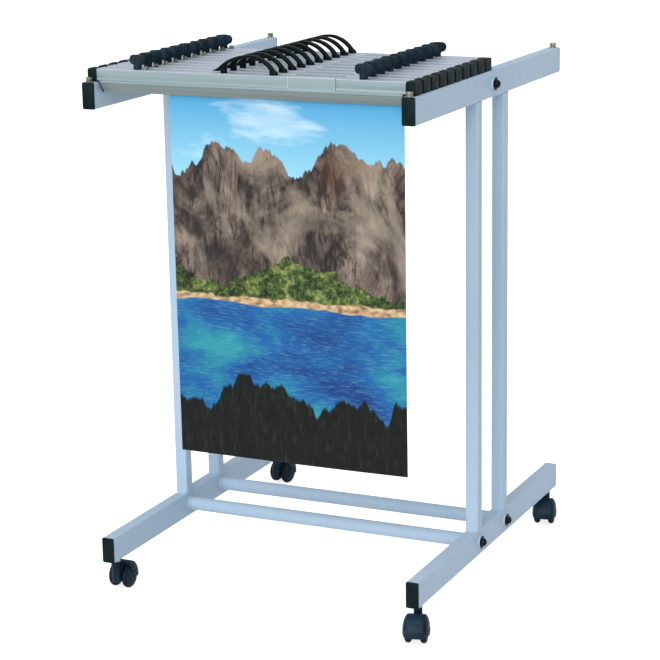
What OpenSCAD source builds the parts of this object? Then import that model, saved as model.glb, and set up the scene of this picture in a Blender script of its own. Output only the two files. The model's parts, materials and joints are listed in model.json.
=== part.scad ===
// Sheet hanging trolley: two welded side frames joined by rails, rolling on
// four twin-wheel casters, with ten clamp binders resting across the arms.
// Units are millimetres, +Z is up, the front of the trolley faces -Y.

/* [Show] */
// Which sub-part to draw, "all" draws every one

/* [Frame] */
// Width over the two arms
frame_w = 663; // [640:1:760]
// Depth of arms and feet from front cap to rear cap
frame_d = 770; // [740:1:900]
// Height of the top of the arms above the floor
arm_z = 1001; // [900:1:1200]
// Width of the arm and foot tube
tube_w = 25; // [25:0.5:30]
// Height of the arm and foot tube
tube_h = 50; // [46:1:60]
// Wall of all rectangular tube
tube_t = 2; // [1.5:0.1:2.5]
// Outside corner radius of rectangular tube
tube_r = 2.6; // [2.2:0.1:4]
// Distance between the centres of the two uprights of a side
post_gap = 141; // [130:1:200]
// Diameter of the lower rails
rail_d = 27; // [22:0.5:28]
// Diameter of the tie bar between the arms
tie_d = 10; // [9:0.5:11]
// Rearward offset of the tie bar from mid-length
tie_y = 0; // [0:0.5:6]

/* [Casters] */
// Wheel diameter
wheel_d = 48; // [44:1:50]
// Swivel offset from stem to axle
trail = 24.5; // [23:0.5:26]
// Distance of the stems from the ends of the feet
stem_inset = 28; // [26:1:60]
// Resting swivel angle of the front left caster
turn_fl = 89; // [0:1:360]
// Resting swivel angle of the front right caster
turn_fr = 285; // [0:1:360]
// Resting swivel angle of the rear left caster
turn_rl = 81; // [0:1:360]
// Resting swivel angle of the rear right caster
turn_rr = 283; // [0:1:360]

/* [Binders] */
// Distance of a binder's end from the outer face of the arm
binder_inset = 4.5; // [2.5:0.5:8.5]
// Depth of a binder across its end caps
binder_d = 30; // [29:0.5:31]
// Distance from one binder to the next
binder_pitch = 38; // [37.6:0.1:38]
// Height of the upper band above the arms
band_h = 24; // [23:0.5:26]
// Depth of the tapered band below the arms
skirt_h = 19; // [17:0.5:19]
// Length of an end cap
cap_len = 19; // [17:0.5:20]
// Distance of each knob from the end of the binder
knob_inset = 101; // [87:1:127]
// Reach of a knob wing from its axis
wing_r = 18.6; // [16:0.2:18.8]
// Height of a knob
knob_h = 27.4; // [25:0.2:30]
// Length of the label holder
label_w = 93; // [60:1:100]

/* [Print] */
// Width of the hanging sheet
print_w = 464; // [200:1:466]
// Length of the hanging sheet from jaw to lower edge
print_h = 696.5; // [300:0.5:800]
// Sideways position of the middle of the sheet
print_x = 67.6; // [0:0.1:68.6]
// Thickness of the sheet
print_t = 0.4; // [0.3:0.05:0.5]

/* [Hidden] */
$fn = 48;
eps = 0.01;
frame_col = [0.68, 0.74, 0.82];
alu_col = [0.66, 0.72, 0.74];
black_col = [0.13, 0.15, 0.17];
brass_col = [0.72, 0.70, 0.46];
steel_col = [0.75, 0.77, 0.79];
arm_x = frame_w / 2 - tube_w / 2;
inner_x = frame_w / 2 - tube_w;
half_d = frame_d / 2;
arm_mid = arm_z - tube_h / 2;
cap_plate = 2.5;
tube_len = frame_d - 2 * cap_plate;
// Casters, all sizes
hood_wall = 4.3;
wheel_clear = 1.4;
hood_r = wheel_d / 2 + wheel_clear + hood_wall;
hood_w = 41;
hood_z0 = 9;
web_w = 16.4;
wheel_in = 8.6;
wheel_out = 25.3;
tread_out = 16;
neck_d = 16.5;
neck_len = 6.8;
neck_z0 = 9;
boss_d = 17.5;
boss_h = 5;
stem_d = 8;
stem_head = 11;
sleeve_d = 12;
socket_h = 34;
axle_d = 6;
axle_z = wheel_d / 2;
head_z = axle_z + 6;
foot_z0 = axle_z + hood_r + neck_len + boss_h;
foot_mid = foot_z0 + tube_h / 2;
foot_top = foot_z0 + tube_h;
stem_y = half_d - stem_inset;
rail_z = foot_mid + 1.2;
weld_r = 7;
bore_tol = 0.1;
// Bolts through feet and arms
bolt_d = 8;
cup_d = 27;
cup_t = 4.5;
disc_t = 1.2;
nut_d = 15;
nut_h = 8.5;
collar_d = 31;
collar_len = 6;
plug_len = 30;
rail_t = 2;
// Stop studs
stud_d = 13;
stud_h = 9.2;
stud_shank = 1.9;
stud_y = half_d - stud_d / 2 - 0.5;
// Binders
binder_w = frame_w - 2 * binder_inset;
knob_x = binder_w / 2 - knob_inset;
first_inset = 30;
first_y = first_inset - half_d;
wall = 1.8;
band_y = binder_d / 2 - 0.8;
lip_y = binder_d / 2;
skirt_y = 7.3;
skirt_top_y = lip_y - 1.4;
skirt_tan = (skirt_top_y - skirt_y) / (skirt_h - 1.6);
wall_in = wall * sqrt(1 + skirt_tan * skirt_tan);
seat_gap = 0.1;
skirt_x = inner_x - 4.5;
slant = 4.2;
lug_t = 2.5;
chan_x = binder_w / 2 - cap_len;
base_t = 1.8;
rod_d = 6;
rod_z0 = -2;
pin_d = 5;
pin_len = 19;
jaw_top = 3;
jaw_bot = -17.5;
hub_d = 15.2;
// Sideways offset of the knobs, and place of the guide screw
knob_shift = -3;
guide_x = 14.3 - knob_x;
handle_deep = 9.6;
// Reach of the handle's outer curve, whose points are stated for 69.5
handle_r = 69.5;
handle_s = handle_r / 69.5;
// Left end and lower edge of the label holder
label_x = 82;
label_z0 = base_t + 0.55;
// Depth of the upper edge of the sheet below the arm tops
grip_top = 5.5;
jaw_y = 10;
lobe_r = 9.4;
guide_h = 5.2;
// Moves everything so that the origin is under the middle of the whole box
box_shift = [-3.88, 0.32, 0];
// Resting turn of the knobs of each binder, left then right
turn_left = [-12, 24, 12, -8, 28, 14, -20, 6, 22, 10];
turn_right = [-10, 18, 26, 8, -14, 20, 12, 24, -6, 32];

// ---------- shared profiles ----------

// Carries every sub-part to its place about the common origin
module placed() {
  translate(box_shift) children();
}

// Rounded rectangle of size a by b with corner radius r
module round_rect(a, b, r) {
  union() {
    square([a - 2 * r, b], center = true);
    square([a, b - 2 * r], center = true);
    for (sx = [-1, 1], sy = [-1, 1])
      translate([sx * (a / 2 - r), sy * (b / 2 - r)]) circle(r = r);
  }
}

// Hollow section of outside size a by b
module tube_section(a, b) {
  difference() {
    round_rect(a, b, tube_r);
    round_rect(a - 2 * tube_t, b - 2 * tube_t, tube_r - tube_t + 0.4);
  }
}

// Solid rod along X from x0, of diameter d and length l
module rod_x(d, l) {
  rotate([0, 90, 0]) cylinder(d = d, h = l);
}

// Points of an arc about (cx, cz)
function arc(cx, cz, r, a0, a1, n) =
  [for (i = [0:n]) let (a = a0 + (a1 - a0) * i / n)
    [cx + r * cos(a), cz + r * sin(a)]];

// ---------- side frames ----------

// Rectangular tube lying along Y, centred on x = 0
module long_tube() {
  rotate([90, 0, 0])
    linear_extrude(height = tube_len, center = true)
      tube_section(tube_w, tube_h);
}

// Foot of one side, side = -1 left, 1 right
module foot(side) {
  color(frame_col)
    difference() {
      union() {
        translate([side * arm_x, 0, foot_mid]) long_tube();
        for (s = [-1, 1])
          translate([side * arm_x, s * stem_y, foot_z0 - boss_h])
            cylinder(d = boss_d, h = boss_h + tube_t / 2);
      }
      for (s = [-1, 1])
        translate([side * arm_x - tube_w, s * post_gap / 2, rail_z])
          rod_x(bolt_d + 2 * bore_tol, 2 * tube_w);
      for (s = [-1, 1])
        translate([side * arm_x, s * stem_y, foot_z0 - boss_h - 1])
          cylinder(d = sleeve_d, h = boss_h + tube_t + 2);
    }
}

// Arm of one side
module arm(side) {
  color(frame_col)
    difference() {
      translate([side * arm_x, 0, arm_mid]) long_tube();
      translate([side * arm_x - tube_w, tie_y, arm_mid])
        rod_x(bolt_d + 2 * bore_tol, 2 * tube_w);
      for (s = [-1, 1])
        translate([side * arm_x, s * stud_y, arm_z - tube_t - 1])
          cylinder(d = stud_d / 2 + 2 * bore_tol, h = tube_t + 2);
    }
}

// Concave weld bead in the corner between an upright and the tube
module weld_bead(r) {
  w = tube_w - 2 * tube_r;
  difference() {
    translate([-w / 2, 0, 0]) cube([w, r, r]);
    translate([-w / 2 - 1, r, r]) rod_x(2 * r, w + 2);
  }
}

// The two square uprights of one side with their weld beads
module uprights(side) {
  z0 = foot_top;
  z1 = arm_z - tube_h;
  h = z1 - z0;
  color(frame_col)
    for (s = [-1, 1])
      translate([side * arm_x, s * post_gap / 2, z0]) {
        linear_extrude(height = h) tube_section(tube_w, tube_w);
        for (m = [0, 1])
          mirror([0, m, 0])
            translate([0, tube_w / 2, 0]) {
              weld_bead(weld_r);
              translate([0, 0, h]) mirror([0, 0, 1]) weld_bead(weld_r);
            }
      }
}

// ---------- rails, bolts and plugs ----------

// Round lower rail with an end collar against each foot
module lower_rail(s) {
  l = 2 * inner_x;
  color(frame_col)
    translate([-inner_x, s * post_gap / 2, rail_z])
      difference() {
        union() {
          rod_x(rail_d, l);
          rod_x(collar_d, collar_len);
          translate([l - collar_len, 0, 0]) rod_x(collar_d, collar_len);
        }
        translate([-1, 0, 0]) rod_x(rail_d - 2 * rail_t, l + 2);
      }
}

// Tie bar between the arms, tapped at both ends
module tie_bar() {
  placed() color(frame_col)
    translate([-inner_x, tie_y, arm_mid])
      difference() {
        rod_x(tie_d, 2 * inner_x);
        translate([-1, 0, 0]) rod_x(bolt_d - 2 + bore_tol, plug_len);
        translate([2 * inner_x - plug_len + 1, 0, 0])
          rod_x(bolt_d - 2 + bore_tol, plug_len);
      }
}

// Threaded plugs pressed into the ends of the lower rails
module rail_plugs() {
  d = rail_d - 2 * rail_t;
  placed() color(steel_col)
    for (s = [-1, 1], m = [0, 1])
      mirror([m, 0, 0])
        translate([inner_x - plug_len, s * post_gap / 2, rail_z])
          difference() {
            rod_x(d, plug_len);
            translate([-1, 0, 0]) rod_x(bolt_d, plug_len + 2);
          }
}

// Dished cup under each bolt head
module cup() {
  r = cup_d / 2;
  rotate([0, 90, 0])
    difference() {
      rotate_extrude($fn = 64)
        polygon(concat([[0, 0], [r, 0]],
          arc(r - 2.5, cup_t - 2.5, 2.5, 0, 90, 6),
          [[0, cup_t]]));
      translate([0, 0, cup_t - disc_t + 0.2])
        cylinder(d = cup_d - 5, h = disc_t + 1);
      translate([0, 0, -1]) cylinder(d = bolt_d + 0.2, h = cup_t + 2);
    }
}

// Places its child on the outer face at every bolt position
module at_bolts() {
  for (m = [0, 1])
    mirror([m, 0, 0]) {
      for (s = [-1, 1])
        translate([frame_w / 2, s * post_gap / 2, rail_z]) children();
      translate([frame_w / 2, tie_y, arm_mid]) children();
    }
}

module bolt_cups() {
  placed() color(steel_col) at_bolts() cup();
}

// Bolt with a round disc and a domed nut head
module frame_bolt(shank, d) {
  z0 = cup_t - disc_t + 0.2;
  rotate([0, 90, 0]) {
    translate([0, 0, z0])
      rotate_extrude($fn = 48)
        polygon(concat([[0, 0], [cup_d / 2 - 2.7, 0],
          [cup_d / 2 - 2.7, disc_t], [nut_d / 2, disc_t],
          [nut_d / 2, disc_t + nut_h - 4]],
          arc(nut_d / 2 - 4, disc_t + nut_h - 4, 4, 10, 90, 6),
          [[0, disc_t + nut_h]]));
    translate([0, 0, z0 - shank]) cylinder(d = d, h = shank + 0.5);
  }
}

module frame_bolts() {
  d = bolt_d - 0.1;
  placed() color(black_col) {
    for (m = [0, 1])
      mirror([m, 0, 0]) {
        for (s = [-1, 1])
          translate([frame_w / 2, s * post_gap / 2, rail_z])
            frame_bolt(tube_w + 22, d);
        translate([frame_w / 2, tie_y, arm_mid])
          frame_bolt(tube_w + 22, bolt_d - 2);
      }
  }
}

// ---------- plastic end caps and stop studs ----------

// Push-in cap for the end of a long tube, facing -Y
module end_cap() {
  a = tube_w - 2 * tube_t - 0.2;
  b = tube_h - 2 * tube_t - 0.2;
  rotate([90, 0, 0]) {
    linear_extrude(height = cap_plate - 0.8) round_rect(tube_w, tube_h, 2.4);
    translate([0, 0, cap_plate - 0.8])
      linear_extrude(height = 0.8) round_rect(tube_w - 1.6, tube_h - 1.6, 2.4);
  }
  rotate([-90, 0, 0])
    difference() {
      linear_extrude(height = 14) round_rect(a, b, 1);
      translate([0, 0, 2])
        linear_extrude(height = 20) round_rect(a - 3, b - 3, 1);
    }
}

module end_caps_at(z) {
  color(black_col)
    for (side = [-1, 1], m = [0, 1])
      mirror([0, m, 0])
        translate([side * arm_x, -tube_len / 2, z]) end_cap();
}

// Turned stud with a waist, screwed into the arm top near each end
module stop_stud() {
  r = stud_d / 2;
  rotate_extrude()
    polygon([[0, 0], [r, 0], [r, 2.8], [r - 1.1, 3.5], [r - 1.1, 4.7],
      [r, 5.4], [r, stud_h - 0.8], [r - 0.8, stud_h],
      [2.4, stud_h], [2.4, stud_h - 3], [0, stud_h - 3]]);
  translate([0, 0, -stud_shank]) cylinder(d = stud_d / 2, h = stud_shank + eps);
}

module stop_studs() {
  placed() color(brass_col)
    for (side = [-1, 1], s = [-1, 1])
      translate([side * arm_x, s * stud_y, arm_z]) stop_stud();
}

// ---------- casters ----------

// Places its child at a stem axis, xs and ys are the side signs
module at_stem(xs, ys) {
  translate([xs * arm_x, ys * stem_y, 0]) children();
}

// Plastic sleeve inside the foot that grips the stem
module caster_sockets() {
  placed() color(black_col)
    for (xs = [-1, 1], ys = [-1, 1])
      at_stem(xs, ys)
        difference() {
          translate([0, 0, foot_z0 - boss_h + 0.1])
            cylinder(d = sleeve_d - 0.1, h = socket_h);
          translate([0, 0, foot_z0 - boss_h - 1])
            cylinder(d = stem_d, h = socket_h + 3);
        }
}

// Steel stems with a head captive inside each hood
module caster_stems() {
  z0 = head_z + 0.5;
  placed() color(steel_col)
    for (xs = [-1, 1], ys = [-1, 1])
      at_stem(xs, ys) {
        translate([0, 0, z0])
          cylinder(d = stem_d - 0.04, h = foot_z0 + socket_h - boss_h - z0 - 2);
        translate([0, 0, z0]) cylinder(d = stem_head, h = 3);
      }
}

// Moves to the axle of a caster, +Z of the child runs along the axle
module on_axle() {
  translate([trail, 0, axle_z]) rotate([90, 0, 0]) children();
}

// Half outline of a wheel from its rim outwards, grown by g: [radius, height]
function dome(g, n) =
  [for (i = [0:n]) let (a = 78 * i / n)
    [(wheel_d / 2 + g) * cos(a),
     tread_out + (wheel_out - tread_out + g) * sin(a)]];

// Solid of revolution about the axle that carries the fender surface
module fender_solid() {
  rotate_extrude($fn = 72)
    intersection() {
      polygon(concat([[0, 0]], [[hood_r, 0]], dome(hood_r - wheel_d / 2, 12),
        [[0, 2 * hood_w]]));
      square([60, hood_w / 2]);
    }
  mirror([0, 0, 1])
    rotate_extrude($fn = 72)
      intersection() {
        polygon(concat([[0, 0]], [[hood_r, 0]], dome(hood_r - wheel_d / 2, 12),
          [[0, 2 * hood_w]]));
        square([60, hood_w / 2]);
      }
}

// Swivelling hood, trail towards +X before it is turned: a fender over
// the trailing half, a web between the wheels and the neck of the stem
module hood_shape() {
  difference() {
    union() {
      on_axle() fender_solid();
      translate([0, 0, neck_z0])
        cylinder(d = neck_d, h = foot_z0 - boss_h - 0.2 - neck_z0);
      translate([0, -web_w / 2, neck_z0])
        cube([trail, web_w, axle_z + hood_r * 0.6 - neck_z0]);
    }
    for (m = [0, 1])
      mirror([0, m, 0]) {
        // room for the wheel
        on_axle()
          rotate_extrude($fn = 72)
            polygon(concat([[0, web_w / 2],
              [wheel_d / 2 + wheel_clear, web_w / 2]],
              dome(wheel_clear, 12), [[0, 2 * hood_w]]));
        // bare treads on the side of the stem
        translate([-80, web_w / 2, -10]) cube([80 + trail - 9, 40, 100]);
      }
    // open underside
    translate([-60, -40, -40]) cube([150, 80, 40 + hood_z0]);
    // stem bore with head room, axle bore
    translate([0, 0, head_z]) cylinder(d = stem_d + 0.12, h = foot_z0);
    translate([0, 0, head_z]) cylinder(d = stem_head + 0.6, h = 4);
    on_axle() cylinder(d = axle_d + 0.12, h = 60, center = true);
  }
}

// Wheel with a domed outer face, lying on its inner face
module wheel() {
  r = wheel_d / 2;
  w = wheel_out - wheel_in;
  t = tread_out - wheel_in;
  rotate_extrude($fn = 72)
    polygon(concat([[axle_d / 2, 0], [r - 6, 0], [r - 5, 1], [r - 1, 1]],
      arc(r - 1, 2, 1, -90, 0, 3),
      [for (i = [0:9]) let (a = 8.5 * i)
        [r * cos(a), t + (w - t - 0.4) * sin(a)]],
      [[r * cos(80), w], [axle_d / 2, w]]));
}

module caster_hood(xs, ys, turn) {
  color(black_col) at_stem(xs, ys) rotate([0, 0, turn]) hood_shape();
}

module caster_axle(xs, ys, turn) {
  color(steel_col)
    at_stem(xs, ys) rotate([0, 0, turn])
      on_axle() cylinder(d = axle_d, h = 2 * wheel_out - 3, center = true);
}

module caster_wheels(xs, ys, turn) {
  color(black_col)
    at_stem(xs, ys) rotate([0, 0, turn])
      on_axle()
        for (m = [0, 1])
          mirror([0, 0, m]) translate([0, 0, wheel_in]) wheel();
}

// ---------- binder pieces, local origin at the arm top ----------

// Place of a stud and its knob along the binder, s is the side sign
function stud_x(s) = s * knob_x + knob_shift;

// Moves to binder number k, counted from the front
module at_binder(k) {
  translate([0, first_y + (k - 1) * binder_pitch, arm_z]) children();
}

// Extrudes a (y, z) profile along X over length l
module along_x(l) {
  rotate([90, 0, 90]) linear_extrude(height = l, center = true) children();
}

// Upper band: inverted channel with two fine grooves in its top
module band_profile() {
  difference() {
    translate([0, (band_h + base_t) / 2])
      round_rect(2 * band_y, band_h - base_t, 1.5);
    translate([-(band_y - wall), base_t - 1])
      square([2 * (band_y - wall), band_h - base_t - wall + 1]);
    for (s = [-1, 1])
      translate([s * 6.4 - 0.7, band_h - 0.7]) square([1.4, 2]);
  }
}

// Ridge and tapered skirts below the band
module skirt_profile() {
  for (s = [0, 1])
    mirror([s, 0])
      polygon([[band_y - wall, base_t + 3], [band_y - 0.8, base_t + 3],
        [band_y - 0.8, base_t + 0.6], [lip_y, base_t + 0.4],
        [lip_y, -0.8], [skirt_top_y, -1.6], [skirt_y, -skirt_h],
        [skirt_y - wall_in, -skirt_h],
        [skirt_y - wall_in + skirt_tan * (skirt_h - 1.9), -1.9],
        [band_y - wall, 1]]);
}

// Block that trims the slanted ends of the skirts, gap g from the lugs
module skirt_trim(g) {
  rotate([90, 0, 0])
    linear_extrude(height = 60, center = true)
      polygon([[-(skirt_x - g), base_t + 2], [skirt_x - g, base_t + 2],
        [skirt_x - g, 0], [skirt_x - slant - g, -skirt_h - 1],
        [-(skirt_x - slant - g), -skirt_h - 1], [-(skirt_x - g), 0]]);
}

module channel_shape() {
  difference() {
    union() {
      along_x(2 * chan_x) band_profile();
      intersection() {
        along_x(2 * skirt_x) skirt_profile();
        translate([0, 0, eps]) skirt_trim(0);
      }
    }
    for (s = [-1, 1]) {
      translate([stud_x(s), 0, band_h - 5])
        cylinder(d = rod_d + 1, h = 10);
      translate([stud_x(s), 0, band_h - 0.6]) cylinder(d = hub_d + 1, h = 2);
    }
    translate([guide_x, 0, band_h - 5]) cylinder(d = 4.2, h = 10);
  }
}

// One end cap with tongue, base plate and slanted lug, at +X
module end_cap_shape() {
  // body
  translate([chan_x, 0, 0])
    rotate([90, 0, 90])
      linear_extrude(height = cap_len)
        union() {
          translate([0, (band_h - 6) / 2])
            square([binder_d, band_h - 6], center = true);
          translate([0, band_h / 2 + 0.15])
            round_rect(binder_d, band_h + 0.3, 4.6);
        }
  // tongue inside the channel
  translate([chan_x - 12, -(band_y - wall - 0.1), 6])
    cube([12 + eps, 2 * (band_y - wall - 0.1), band_h - wall - 6.1]);
  // base plate below the end of the channel
  translate([skirt_x + 0.1, -band_y, 0])
    cube([chan_x - skirt_x, 2 * band_y, base_t - 0.05]);
  // slanted lug beside the end of the skirts
  difference() {
    rotate([90, 0, 0])
      linear_extrude(height = 2 * skirt_y + 4, center = true)
      polygon([[skirt_x + 0.1, base_t - 0.05],
        [skirt_x + 0.1 + lug_t, base_t - 0.05],
        [skirt_x + 0.1 + lug_t, 0],
        [skirt_x + 0.1 + lug_t - slant, -skirt_h],
        [skirt_x + 0.1 - slant, -skirt_h], [skirt_x + 0.1, 0]]);
    // slit that lets the edge of a wide sheet pass
    translate([skirt_x - 10, -0.9, -skirt_h - 1])
      cube([20, 1.8, skirt_h + 1 - 3.6]);
  }
}

module end_caps_shape() {
  for (m = [0, 1]) mirror([m, 0, 0]) end_cap_shape();
}

// Handle points, stated above a band 24 high, set on the real band
function on_band(pts) =
  [for (p = pts) [p[0] * handle_s, band_h + (p[1] - 24) * handle_s]];

// Bow handle with a pointed toe at the left end
module handle_shape() {
  shoulder = arc(-4, -8.5, 69.5, 38, 64, 8);
  inner = arc(-4, -8.5, 62, 130.7, 42.5, 20);
  translate([-1.5, 0, 0])
    rotate([90, 0, 0])
      linear_extrude(height = handle_deep, center = true)
        difference() {
          polygon(on_band(concat([[57.8, 24], [57.8, 27], [54.6, 31.4]],
            shoulder, arc(3, -37, 95.5, 82, 131, 18),
            [[-64, 31.9], [-69.5, 29.2], [-73.6, 28.4], [-73.4, 27.4],
            [-65, 27.2], [-57, 27.8], [-56, 26], [-56, 24]])));
          polygon(on_band(concat([[-44.4, 23]], inner, [[41.7, 23]])));
        }
}

// Label holder hooked over the front of the channel
module label_shape() {
  x0 = label_x;
  y0 = -band_y - 0.05;
  h = band_h - label_z0;
  translate([x0, y0 - 0.9, label_z0]) cube([label_w, 0.9, h + 0.1]);
  translate([x0, y0 - 0.9, band_h + 0.05]) cube([label_w, 4, 1]);
  translate([x0, y0 - 2, label_z0]) cube([1.6, 2, h + 1.05]);
  translate([x0, y0 - 2, band_h - 0.9]) cube([label_w, 2, 1.95]);
  translate([x0, y0 - 1.6, label_z0]) cube([label_w, 1.6, 1.2]);
  translate([x0 + label_w - 1, y0 - 1.6, label_z0]) cube([1, 1.6, h]);
}

// Hexagon guide screw beside the left knob
module guide_shape() {
  translate([guide_x, 0, band_h]) {
    cylinder(d = 9.6, h = guide_h, $fn = 6);
    translate([0, 0, guide_h]) cylinder(d = 6, h = 1.3);
    translate([0, 0, -6]) cylinder(d = 4, h = 6 + eps);
  }
}

// Jaw bar cut for the studs, front one of the pair at -Y
module jaw_shape() {
  g = print_t / 2 + 0.05;
  l = 2 * (skirt_x - slant) - 6;
  y0 = skirt_y - wall_in - seat_gap + skirt_tan * (skirt_h + jaw_bot);
  z1 = (jaw_y - skirt_y + wall_in + seat_gap) / skirt_tan - skirt_h;
  difference() {
    along_x(l)
      polygon([[-g, jaw_bot], [-g, jaw_top], [-jaw_y, jaw_top],
        [-jaw_y, z1], [-y0, jaw_bot]]);
    for (s = [-1, 1])
      translate([stud_x(s), 0, 0]) {
        translate([-5, -4, rod_z0 - 5]) cube([10, 8, 30]);
        translate([0, 0, rod_z0])
          rotate([90, 0, 0]) cylinder(d = pin_d + 0.15, h = 30, center = true);
      }
  }
}

// Threaded studs with the cross pins that carry the jaws
module studs_shape() {
  for (s = [-1, 1])
    translate([stud_x(s), 0, rod_z0]) {
      rotate([90, 0, 0]) cylinder(d = pin_d, h = pin_len, center = true);
      cylinder(d = rod_d, h = band_h + 12 - rod_z0);
    }
}

// Wing knob standing on the band, axis at the origin
module knob_shape() {
  difference() {
    union() {
      cylinder(d = hub_d, h = knob_h - 1);
      translate([0, 0, knob_h - 1]) cylinder(d1 = hub_d, d2 = hub_d - 2, h = 1);
      rotate([90, 0, 0])
        linear_extrude(height = 7.4, center = true)
          union() {
            for (s = [-1, 1])
              translate([s * (wing_r - lobe_r), knob_h - lobe_r - 0.6])
                circle(r = lobe_r);
            translate([-8, 3]) square([16, 12]);
            translate([-8.2, knob_h - 7]) square([16.4, 6.4]);
          }
    }
    // blind bore that leaves room for the rising stud
    translate([0, 0, -1]) cylinder(d = rod_d + 0.2, h = knob_h - 4);
  }
}

module knob_at(s, turn) {
  translate([stud_x(s), 0, band_h - 0.5]) rotate([0, 0, turn]) knob_shape();
}

// ---------- front binder, piece by piece ----------

module front_jaw() {
  color(alu_col) at_binder(1) jaw_shape();
}

module rear_jaw() {
  color(alu_col) at_binder(1) mirror([0, 1, 0]) jaw_shape();
}

// Coil springs between the channel top and the jaws
module spring(r, wire, h, turns) {
  n = 14;
  m = 6;
  steps = turns * n;
  pts = [for (i = [0:steps], j = [0:m - 1])
    let (a = 360 * i / n, b = 360 * j / m)
      [(r + wire * cos(b)) * cos(a), (r + wire * cos(b)) * sin(a),
        wire + (h - 2 * wire) * i / steps + wire * sin(b)]];
  sides = [for (i = [0:steps - 1], j = [0:m - 1])
    [i * m + j, (i + 1) * m + j, (i + 1) * m + (j + 1) % m,
      i * m + (j + 1) % m]];
  ends = [[for (j = [0:m - 1]) j], [for (j = [m - 1:-1:0]) steps * m + j]];
  polyhedron(points = pts, faces = concat(sides, ends), convexity = 8);
}

module springs_1() {
  placed() color(steel_col)
    at_binder(1)
      for (s = [-1, 1])
        translate([stud_x(s), 0, jaw_top + 0.05])
          spring(5.6, 0.8, band_h - wall - jaw_top - 0.1, 5);
}

// ---------- whole binders ----------

module binder_body(k) {
  color(alu_col)
    at_binder(k) {
      channel_shape();
      end_caps_shape();
      handle_shape();
      label_shape();
      guide_shape();
      knob_at(-1, turn_left[k - 1]);
      knob_at(1, turn_right[k - 1]);
    }
}

module binder_clamp(k) {
  color(steel_col)
    at_binder(k) {
      jaw_shape();
      mirror([0, 1, 0]) jaw_shape();
      studs_shape();
    }
}

// Hanging sheet, its top edge between the jaws of the front binder
module print_sheet() {
  color([0.85, 0.85, 0.8])
    translate([print_x - print_w / 2, first_y - print_t / 2,
      arm_z - print_h])
      cube([print_w, print_t, print_h - grip_top]);
}

// ---------- one line per sub-part ----------

module foot_left() { placed() foot(-1); }
module foot_right() { placed() foot(1); }
module uprights_left() { placed() uprights(-1); }
module uprights_right() { placed() uprights(1); }
module arm_left() { placed() arm(-1); }
module arm_right() { placed() arm(1); }
module rail_front() { placed() lower_rail(-1); }
module rail_rear() { placed() lower_rail(1); }
module arm_end_caps() { placed() end_caps_at(arm_mid); }
module foot_end_caps() { placed() end_caps_at(foot_mid); }
module hood_fl() { placed() caster_hood(-1, -1, turn_fl); }
module axle_fl() { placed() caster_axle(-1, -1, turn_fl); }
module wheels_fl() { placed() caster_wheels(-1, -1, turn_fl); }
module hood_fr() { placed() caster_hood(1, -1, turn_fr); }
module axle_fr() { placed() caster_axle(1, -1, turn_fr); }
module wheels_fr() { placed() caster_wheels(1, -1, turn_fr); }
module hood_rl() { placed() caster_hood(-1, 1, turn_rl); }
module axle_rl() { placed() caster_axle(-1, 1, turn_rl); }
module wheels_rl() { placed() caster_wheels(-1, 1, turn_rl); }
module hood_rr() { placed() caster_hood(1, 1, turn_rr); }
module axle_rr() { placed() caster_axle(1, 1, turn_rr); }
module wheels_rr() { placed() caster_wheels(1, 1, turn_rr); }
module channel_1() { placed() color(alu_col) at_binder(1) channel_shape(); }
module end_caps_1() { placed() color(black_col) at_binder(1) end_caps_shape(); }
module handle_1() { placed() color(black_col) at_binder(1) handle_shape(); }
module label_holder_1() { placed() color(alu_col) at_binder(1) label_shape(); }
module guide_screws_1() { placed() color(brass_col) at_binder(1) guide_shape(); }
module jaw_front_1() { placed() front_jaw(); }
module jaw_rear_1() { placed() rear_jaw(); }
module lift_studs_1() { placed() color(steel_col) at_binder(1) studs_shape(); }
module knob_left_1() {
  placed() color(black_col) at_binder(1) knob_at(-1, turn_left[0]);
}
module knob_right_1() {
  placed() color(black_col) at_binder(1) knob_at(1, turn_right[0]);
}
module print() { placed() print_sheet(); }
module binder_2() { placed() binder_body(2); }
module clamp_2() { placed() binder_clamp(2); }
module binder_3() { placed() binder_body(3); }
module clamp_3() { placed() binder_clamp(3); }
module binder_4() { placed() binder_body(4); }
module clamp_4() { placed() binder_clamp(4); }
module binder_5() { placed() binder_body(5); }
module clamp_5() { placed() binder_clamp(5); }
module binder_6() { placed() binder_body(6); }
module clamp_6() { placed() binder_clamp(6); }
module binder_7() { placed() binder_body(7); }
module clamp_7() { placed() binder_clamp(7); }
module binder_8() { placed() binder_body(8); }
module clamp_8() { placed() binder_clamp(8); }
module binder_9() { placed() binder_body(9); }
module clamp_9() { placed() binder_clamp(9); }
module binder_10() { placed() binder_body(10); }
module clamp_10() { placed() binder_clamp(10); }

foot_left();
foot_right();
uprights_left();
uprights_right();
arm_left();
arm_right();
tie_bar();
rail_front();
rail_rear();
rail_plugs();
bolt_cups();
frame_bolts();
arm_end_caps();
foot_end_caps();
stop_studs();
caster_sockets();
caster_stems();
hood_fl();
axle_fl();
wheels_fl();
hood_fr();
axle_fr();
wheels_fr();
hood_rl();
axle_rl();
wheels_rl();
hood_rr();
axle_rr();
wheels_rr();
channel_1();
end_caps_1();
handle_1();
label_holder_1();
guide_screws_1();
jaw_front_1();
jaw_rear_1();
lift_studs_1();
springs_1();
knob_left_1();
knob_right_1();
print();
binder_2();
clamp_2();
binder_3();
clamp_3();
binder_4();
clamp_4();
binder_5();
clamp_5();
binder_6();
clamp_6();
binder_7();
clamp_7();
binder_8();
clamp_8();
binder_9();
clamp_9();
binder_10();
clamp_10();
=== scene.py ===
import json
import math

import bmesh
import bpy
from mathutils import Matrix, Vector


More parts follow.
